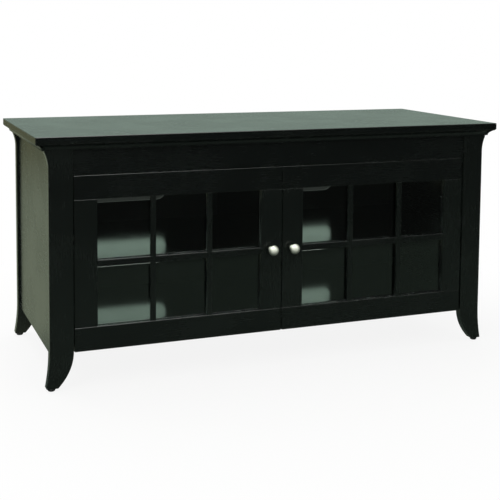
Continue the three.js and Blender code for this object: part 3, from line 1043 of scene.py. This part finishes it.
@dataclass
class Door:
    """A door: rails, stiles, muntins, glass with its bead, and the fittings it carries."""

    side: int
    label: str
    ease: float = 1.5 * MM
    back_ease: float = 0.8 * MM
    end_ease: float = 0.1 * MM
    muntin_step: float = 0.2 * MM
    rabbet: float = 8.0 * MM
    front_depth: float = 10.0 * MM
    stile: float = 55.0 * MM

    @property
    def body(self) -> str:
        """The CAD body the door's pieces ride on."""
        return f"{self.label}_door"

    def node(self, part: str) -> str:
        """A CAD node's full name.

        Args:
            part: The node's name without the door's.

        Returns:
            The full name.
        """
        return f"door_{self.label}_{part}"

    def rail(self, part: str, inner: int) -> None:
        """A rail with a stopped rabbet for the glass along its inner edge.

        The face is the full rectangle, carried back to the rabbet's depth. There the outline steps
        in by the rabbet's width between two stops on its inner edge, and it is carried on to the
        back. Each stop is two points, so that every ring has the same number.

        Args:
            part: "top_rail" or "bottom_rail".
            inner: 1 if the panes are above it, -1 if they are below.
        """
        low, high = (np.array(p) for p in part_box(self.node(part)))
        edge = high[2] if inner > 0 else low[2]
        stops = np.array([low[0] + self.stile - self.rabbet, high[0] - (self.stile - self.rabbet)])
        outline = box_outline((low[0], low[2]), (high[0], high[2]), self.ease * 1.5)
        on_edge = np.abs(outline[:, 1] - edge) < 1e-9
        first = int(np.flatnonzero(on_edge & ~np.roll(on_edge, 1))[0])
        rightward = outline[(first + 1) % len(outline), 0] > outline[first, 0]
        marks = [(x, edge) for x in (stops if rightward else stops[::-1])]
        outline = np.insert(outline, first + 1, marks, axis=0)
        doubled = np.sort(np.append(np.arange(len(outline)), [first + 1, first + 2]))
        stepped = outline[doubled]
        stepped[[first + 2, first + 3], 1] -= inner * self.rabbet
        t = QUARTER_TURN
        shoulder = low[1] + self.front_depth
        front = inset_outline(outline, np.append(self.ease * (1 - np.sin(t)), 0.0))[:, doubled]
        back = inset_outline(stepped, self.back_ease * (1 - np.sin(t[::-1])))
        depth = low[1] + self.ease * (1 - np.cos(t))
        depth_back = high[1] - self.back_ease * (1 - np.cos(t[::-1]))
        rings = np.concatenate([front, stepped[None], back])
        along = np.concatenate([depth, [shoulder, shoulder], depth_back])
        worn = np.concatenate([np.sin(2 * t), [0, 0], np.sin(2 * t[::-1])])
        piece = stacked_rings(f"{self.label}_{part}", rings, along, Plane.FRONT, worn)
        dress(piece, LACQUER_X, self.body, "door_lacquer", self.node(part))

    def stile_piece(self, part: str, inner: int) -> None:
        """A stile, whose rabbet runs from end to end.

        Args:
            part: "hinge_stile" or "lock_stile".
            inner: 1 if the panes are to its right, -1 if they are to its left.
        """
        low, high = (np.array(p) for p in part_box(self.node(part)))
        front, back = low[1], high[1]
        near, far = (low[0], high[0]) if inner > 0 else (high[0], low[0])
        step, shoulder = far - inner * self.rabbet, front + self.front_depth
        face = [(near, front), (far, front), (far, shoulder)]
        section = np.array(face + [(step, shoulder), (step, back), (near, back)])
        if inner < 0:
            section = section[::-1]
        outline = rounded_outline(section, self.ease, 4)
        ends = (low[2], high[2])
        piece = eased_solid(f"{self.label}_{part}", outline, ends, Plane.FLAT, self.back_ease)
        dress(piece, LACQUER_Z, self.body, "door_lacquer", self.node(part))

    def muntins(self) -> None:
        """Makes the muntins. The one across lies a hair behind the two upright ones."""
        for part in ("muntin_vertical_inner", "muntin_vertical_outer"):
            low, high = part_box(self.node(part))
            section = box_outline((low.x, low.y), (high.x, high.y), self.ease)
            ends = (low.z, high.z)
            piece = eased_solid(f"{self.label}_{part}", section, ends, Plane.FLAT, self.end_ease)
            dress(piece, LACQUER_Z, self.body, "door_lacquer", self.node(part))
        part = "muntin_horizontal"
        low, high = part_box(self.node(part))
        section = box_outline((low.y + self.muntin_step, low.z), (high.y, high.z), self.ease)
        ends = (low.x, high.x)
        piece = eased_solid(f"{self.label}_{part}", section, ends, Plane.SIDE, self.end_ease)
        dress(piece, LACQUER_X, self.body, "door_lacquer", self.node(part))

    def build(self) -> None:
        """Makes the door."""
        self.rail("top_rail", -1)
        self.rail("bottom_rail", 1)
        self.stile_piece("hinge_stile", -self.side)
        self.stile_piece("lock_stile", self.side)
        self.muntins()
        pane = refinish(self.node("glass"), GLASS)
        pane.visible_shadow = False
        refinish(self.node("glass_bead"), PLASTIC)
        Knob().build(self.side, self.label)
        for place in ("lower", "upper"):
            refinish(self.node("hinge_cup_" + place), HINGE_NICKEL)
            refinish(f"hinge_arm_{self.label}_{place}", HINGE_NICKEL)
        refinish(self.node("strike_plate"), ZINC)
        log.info("%s door", self.label)


# ------------------------------------------------------------------------------ the studio


@dataclass
class Studio:
    """Camera, floor, lights and surroundings."""

    eye: tuple[float, float, float] = (-0.996, -2.556, 0.843)
    turn: float = 22.07
    pitch: float = -4.795
    roll: float = 0.526
    lens: float = 74.19
    shift: tuple[float, float] = (-0.0268, -0.2732)
    fill: float = 0.88
    window: tuple[float, float, float, float] = (7.0, 7.3, 7.1, 1.0)

    @staticmethod
    def bounced(tree: Tree) -> tuple:
        """Tells how light came: off a matt surface, off a shiny one, or through glass alone.

        Args:
            tree: The tree the nodes go into.

        Returns:
            Three output sockets, each 1 where it is true, in that order.
        """
        rays = add_node(tree, "ShaderNodeLightPath").outputs
        return tuple(
            add_node(tree, "ShaderNodeMath", {0: rays[name], 1: 0.5}, operation="GREATER_THAN").outputs[0]
            for name in ("Diffuse Depth", "Glossy Depth", "Transmission Depth")
        )

    def camera(self) -> None:
        """Places the camera by its turn, pitch and roll."""
        a, b, c = (math.radians(v) for v in (self.turn, self.pitch, self.roll))
        forward = np.array([math.sin(a) * math.cos(b), math.cos(a) * math.cos(b), math.sin(b)])
        level = np.array([math.cos(a), -math.sin(a), 0.0])
        lift = np.cross(level, forward)
        right = level * math.cos(c) + lift * math.sin(c)
        up = -level * math.sin(c) + lift * math.cos(c)
        data = bpy.data.cameras.new("camera")
        data.lens, data.sensor_width = self.lens, 36.0
        data.shift_x, data.shift_y = self.shift
        camera = bpy.data.objects.new("camera", data)
        bpy.context.scene.collection.objects.link(camera)
        turn = Matrix([right, up, -forward]).transposed()
        camera.matrix_world = Matrix.Translation(self.eye) @ turn.to_4x4()
        bpy.context.scene.camera = camera

    def floor(self) -> None:
        """Lays a plain pale floor.

        What the lacquer and the glass mirror of it is dimmer than what is seen directly: to mirror rays it
        glows in painted grey-green tones, a painted reflection.
        Seen through the glass alone it glows near-white and turns dark grey further back, a painted view.
        """
        size = 40.0
        points = np.array([(-size, -size, 0), (size, -size, 0), (size, size, 0), (-size, size, 0)])
        mesh = bpy.data.meshes.new("floor")
        mesh.from_pydata(points.tolist(), [], [[0, 1, 2, 3]])
        floor = bpy.data.objects.new("floor", mesh)
        bpy.context.scene.collection.objects.link(floor)
        # Clean white ground that keeps only a faint shade under the feet. Where it is mirrored or seen
        # through the glass, it glows in painted tones.
        paper = bpy.data.materials.new("pale_paper_floor")
        paper.use_nodes = True
        tree = paper.node_tree
        tree.nodes.clear()
        soft, mirrored, through = self.bounced(tree)
        place = add_node(tree, "ShaderNodeTexCoord").outputs["Object"]
        y = add_node(tree, "ShaderNodeSeparateXYZ", {0: place}).outputs["Y"]
        away = add_node(tree, "ShaderNodeVectorMath", {0: place}, operation="LENGTH").outputs["Value"]
        paper_skin = add_node(tree, "ShaderNodeBsdfDiffuse", {"Color": linear("#f4f4f2")}).outputs[0]
        fill = add_node(tree, "ShaderNodeEmission", {"Color": (1.0, 1.0, 1.0, 1.0)}).outputs[0]
        # Painted reflection of the floor, darkest far in front of the cabinet.
        tone = linear("#2e312f")
        # Painted reflection: the tones the floor glows in for mirror rays only. Each row is where a tone
        # begins and ends to take over along Y, and the tone.
        rows = ((-1.55, -1.3, "#5b685e"), (-0.1, 0.3, "#a5b097"), (2.4, 4.6, "#7d8062"))
        for start, end, colour in rows:
            inputs = {0: y, 1: start, 2: end, 3: 0.0, 4: 1.0}
            reach = add_node(tree, "ShaderNodeMapRange", inputs).outputs[0]
            inputs = {0: reach, 6: tone, 7: linear(colour)}
            tone = add_node(tree, "ShaderNodeMix", inputs, data_type="RGBA").outputs[2]
        # The painted reflection as a glow that only mirror rays see.
        dim = add_node(tree, "ShaderNodeEmission", {"Color": tone}).outputs[0]
        # Painted view through the glass: seen through the panes alone, the floor glows near-white and turns
        # dark grey between 1.5 m and 1.9 m behind.
        inputs = {0: y, 1: 1.5, 2: 1.9, 3: 0.0, 4: 1.0}
        reach = add_node(tree, "ShaderNodeMapRange", inputs).outputs[0]
        inputs = {0: reach, 6: linear("#fafcf8"), 7: linear("#2c2e2c")}
        tone = add_node(tree, "ShaderNodeMix", inputs, data_type="RGBA").outputs[2]
        behind = add_node(tree, "ShaderNodeEmission", {"Color": tone}).outputs[0]
        inputs = {0: away, 1: 0.6, 2: 1.2, 3: self.fill, 4: 1.0}
        white = add_node(tree, "ShaderNodeMapRange", inputs).outputs[0]
        shown = add_node(tree, "ShaderNodeMixShader", {0: white, 1: paper_skin, 2: fill}).outputs[0]
        for factor, skin in ((through, behind), (mirrored, dim), (soft, paper_skin)):
            shown = add_node(tree, "ShaderNodeMixShader", {0: factor, 1: shown, 2: skin}).outputs[0]
        add_node(tree, "ShaderNodeOutputMaterial", {"Surface": shown})
        paper.cycles.emission_sampling = "NONE"
        mesh.materials.append(paper)

    def surroundings(self) -> None:
        """Sets a white backdrop that the finishes mirror as a dim room, darker in front."""
        world = bpy.data.worlds.new("studio")
        bpy.context.scene.world = world
        world.cycles.sampling_method = "NONE"
        world.use_nodes = True
        tree = world.node_tree
        tree.nodes.clear()
        soft, mirrored, _ = self.bounced(tree)
        way = add_node(tree, "ShaderNodeTexCoord").outputs["Generated"]
        parts = add_node(tree, "ShaderNodeSeparateXYZ", {0: way})
        # Each row is an axis, the range it is taken from and the range it becomes.
        ranges = (
            ("Y", -0.35, 0.55, 0.0, 1.0),
            ("Z", 0.35, 0.8, 0.0, 1.0),
            ("Z", 0.3, 0.55, 0.0, 1.0),
            ("X", 0.18, 0.42, 1.0, 0.0),
            ("Y", 0.0, 0.4, 1.0, 0.0),
        )
        back, overhead, lifted, beside, ahead = (
            add_node(
                tree, "ShaderNodeMapRange", dict(enumerate((parts.outputs[axis], *row)))
            ).outputs[0]
            for axis, *row in ranges
        )
        window = lifted
        for side in (beside, ahead):
            inputs = {0: window, 1: side}
            window = add_node(tree, "ShaderNodeMath", inputs, operation="MULTIPLY").outputs[0]
        room = linear("#2c2e2d")
        layers = ((back, linear("#a8bdb0")), (overhead, linear("#e6eae6")), (window, self.window))
        for factor, layer in layers:
            inputs = {0: factor, 6: room, 7: layer}
            room = add_node(tree, "ShaderNodeMix", inputs, data_type="RGBA").outputs[2]
        colour = (1.0, 1.0, 1.0, 1.0)
        for factor, layer in ((mirrored, room), (soft, linear("#c8cac8"))):
            inputs = {0: factor, 6: colour, 7: layer}
            colour = add_node(tree, "ShaderNodeMix", inputs, data_type="RGBA").outputs[2]
        light = add_node(tree, "ShaderNodeBackground", {"Strength": 1.0, "Color": colour})
        add_node(tree, "ShaderNodeOutputWorld", {"Surface": light.outputs[0]})

    @staticmethod
    def softbox(
        name: str,
        place: tuple[float, float, float],
        aim: tuple[float, float, float],
        size: float,
        power: float,
    ) -> Piece:
        """Hangs a square area light.

        Args:
            name: The light's name.
            place: Where it hangs.
            aim: The point it faces.
            size: Its side.
            power: Its power in watts.

        Returns:
            The light.
        """
        data = bpy.data.lights.new(name, "AREA")
        data.shape, data.size, data.energy = "SQUARE", size, power
        light = bpy.data.objects.new(name, data)
        bpy.context.scene.collection.objects.link(light)
        back = (np.array(place) - np.array(aim)).astype(float)
        back /= np.linalg.norm(back)
        side = np.cross((0.0, 0.0, 1.0), back)
        side /= np.linalg.norm(side)
        turn = Matrix([side, np.cross(back, side), back]).transposed()
        light.matrix_world = Matrix.Translation(place) @ turn.to_4x4()
        return light

    def knob_card(self) -> None:
        """Hangs a pale card in front that lights the two knobs and nothing else."""
        card = self.softbox("knob_card", (0.4, -1.5, 0.3), (0.0, -0.25, 0.3), 2.2, 60.0)
        knobs = bpy.data.collections.new("knobs")
        for label in ("left", "right"):
            knobs.objects.link(bpy.data.objects["knob_" + label])
        card.light_linking.receiver_collection = knobs

    def build(self) -> None:
        """Sets up the studio."""
        self.camera()
        self.floor()
        self.surroundings()
        self.softbox("overhead", (-0.6, 0.6, 3.2), (0.0, 0.0, 0.3), 2.4, 45.0)
        self.softbox("left_front", (-3.0, -2.2, 2.2), (0.0, 0.0, 0.3), 1.6, 20.0)
        self.knob_card()
        bpy.context.scene.view_settings.view_transform = "Standard"
        log.info("studio")


def main() -> None:
    """Builds the cabinet, piece by piece, and the studio round it."""
    SlabTop().build()
    CoveMoulding().build()
    Posts().build()
    Case().build()
    Shelving().build()
    for label, side in (("left", -1), ("right", 1)):
        Door(side, label).build()
    refinish("magnetic_catch", PLASTIC)
    Studio().build()


if __name__ == "__main__":
    main()
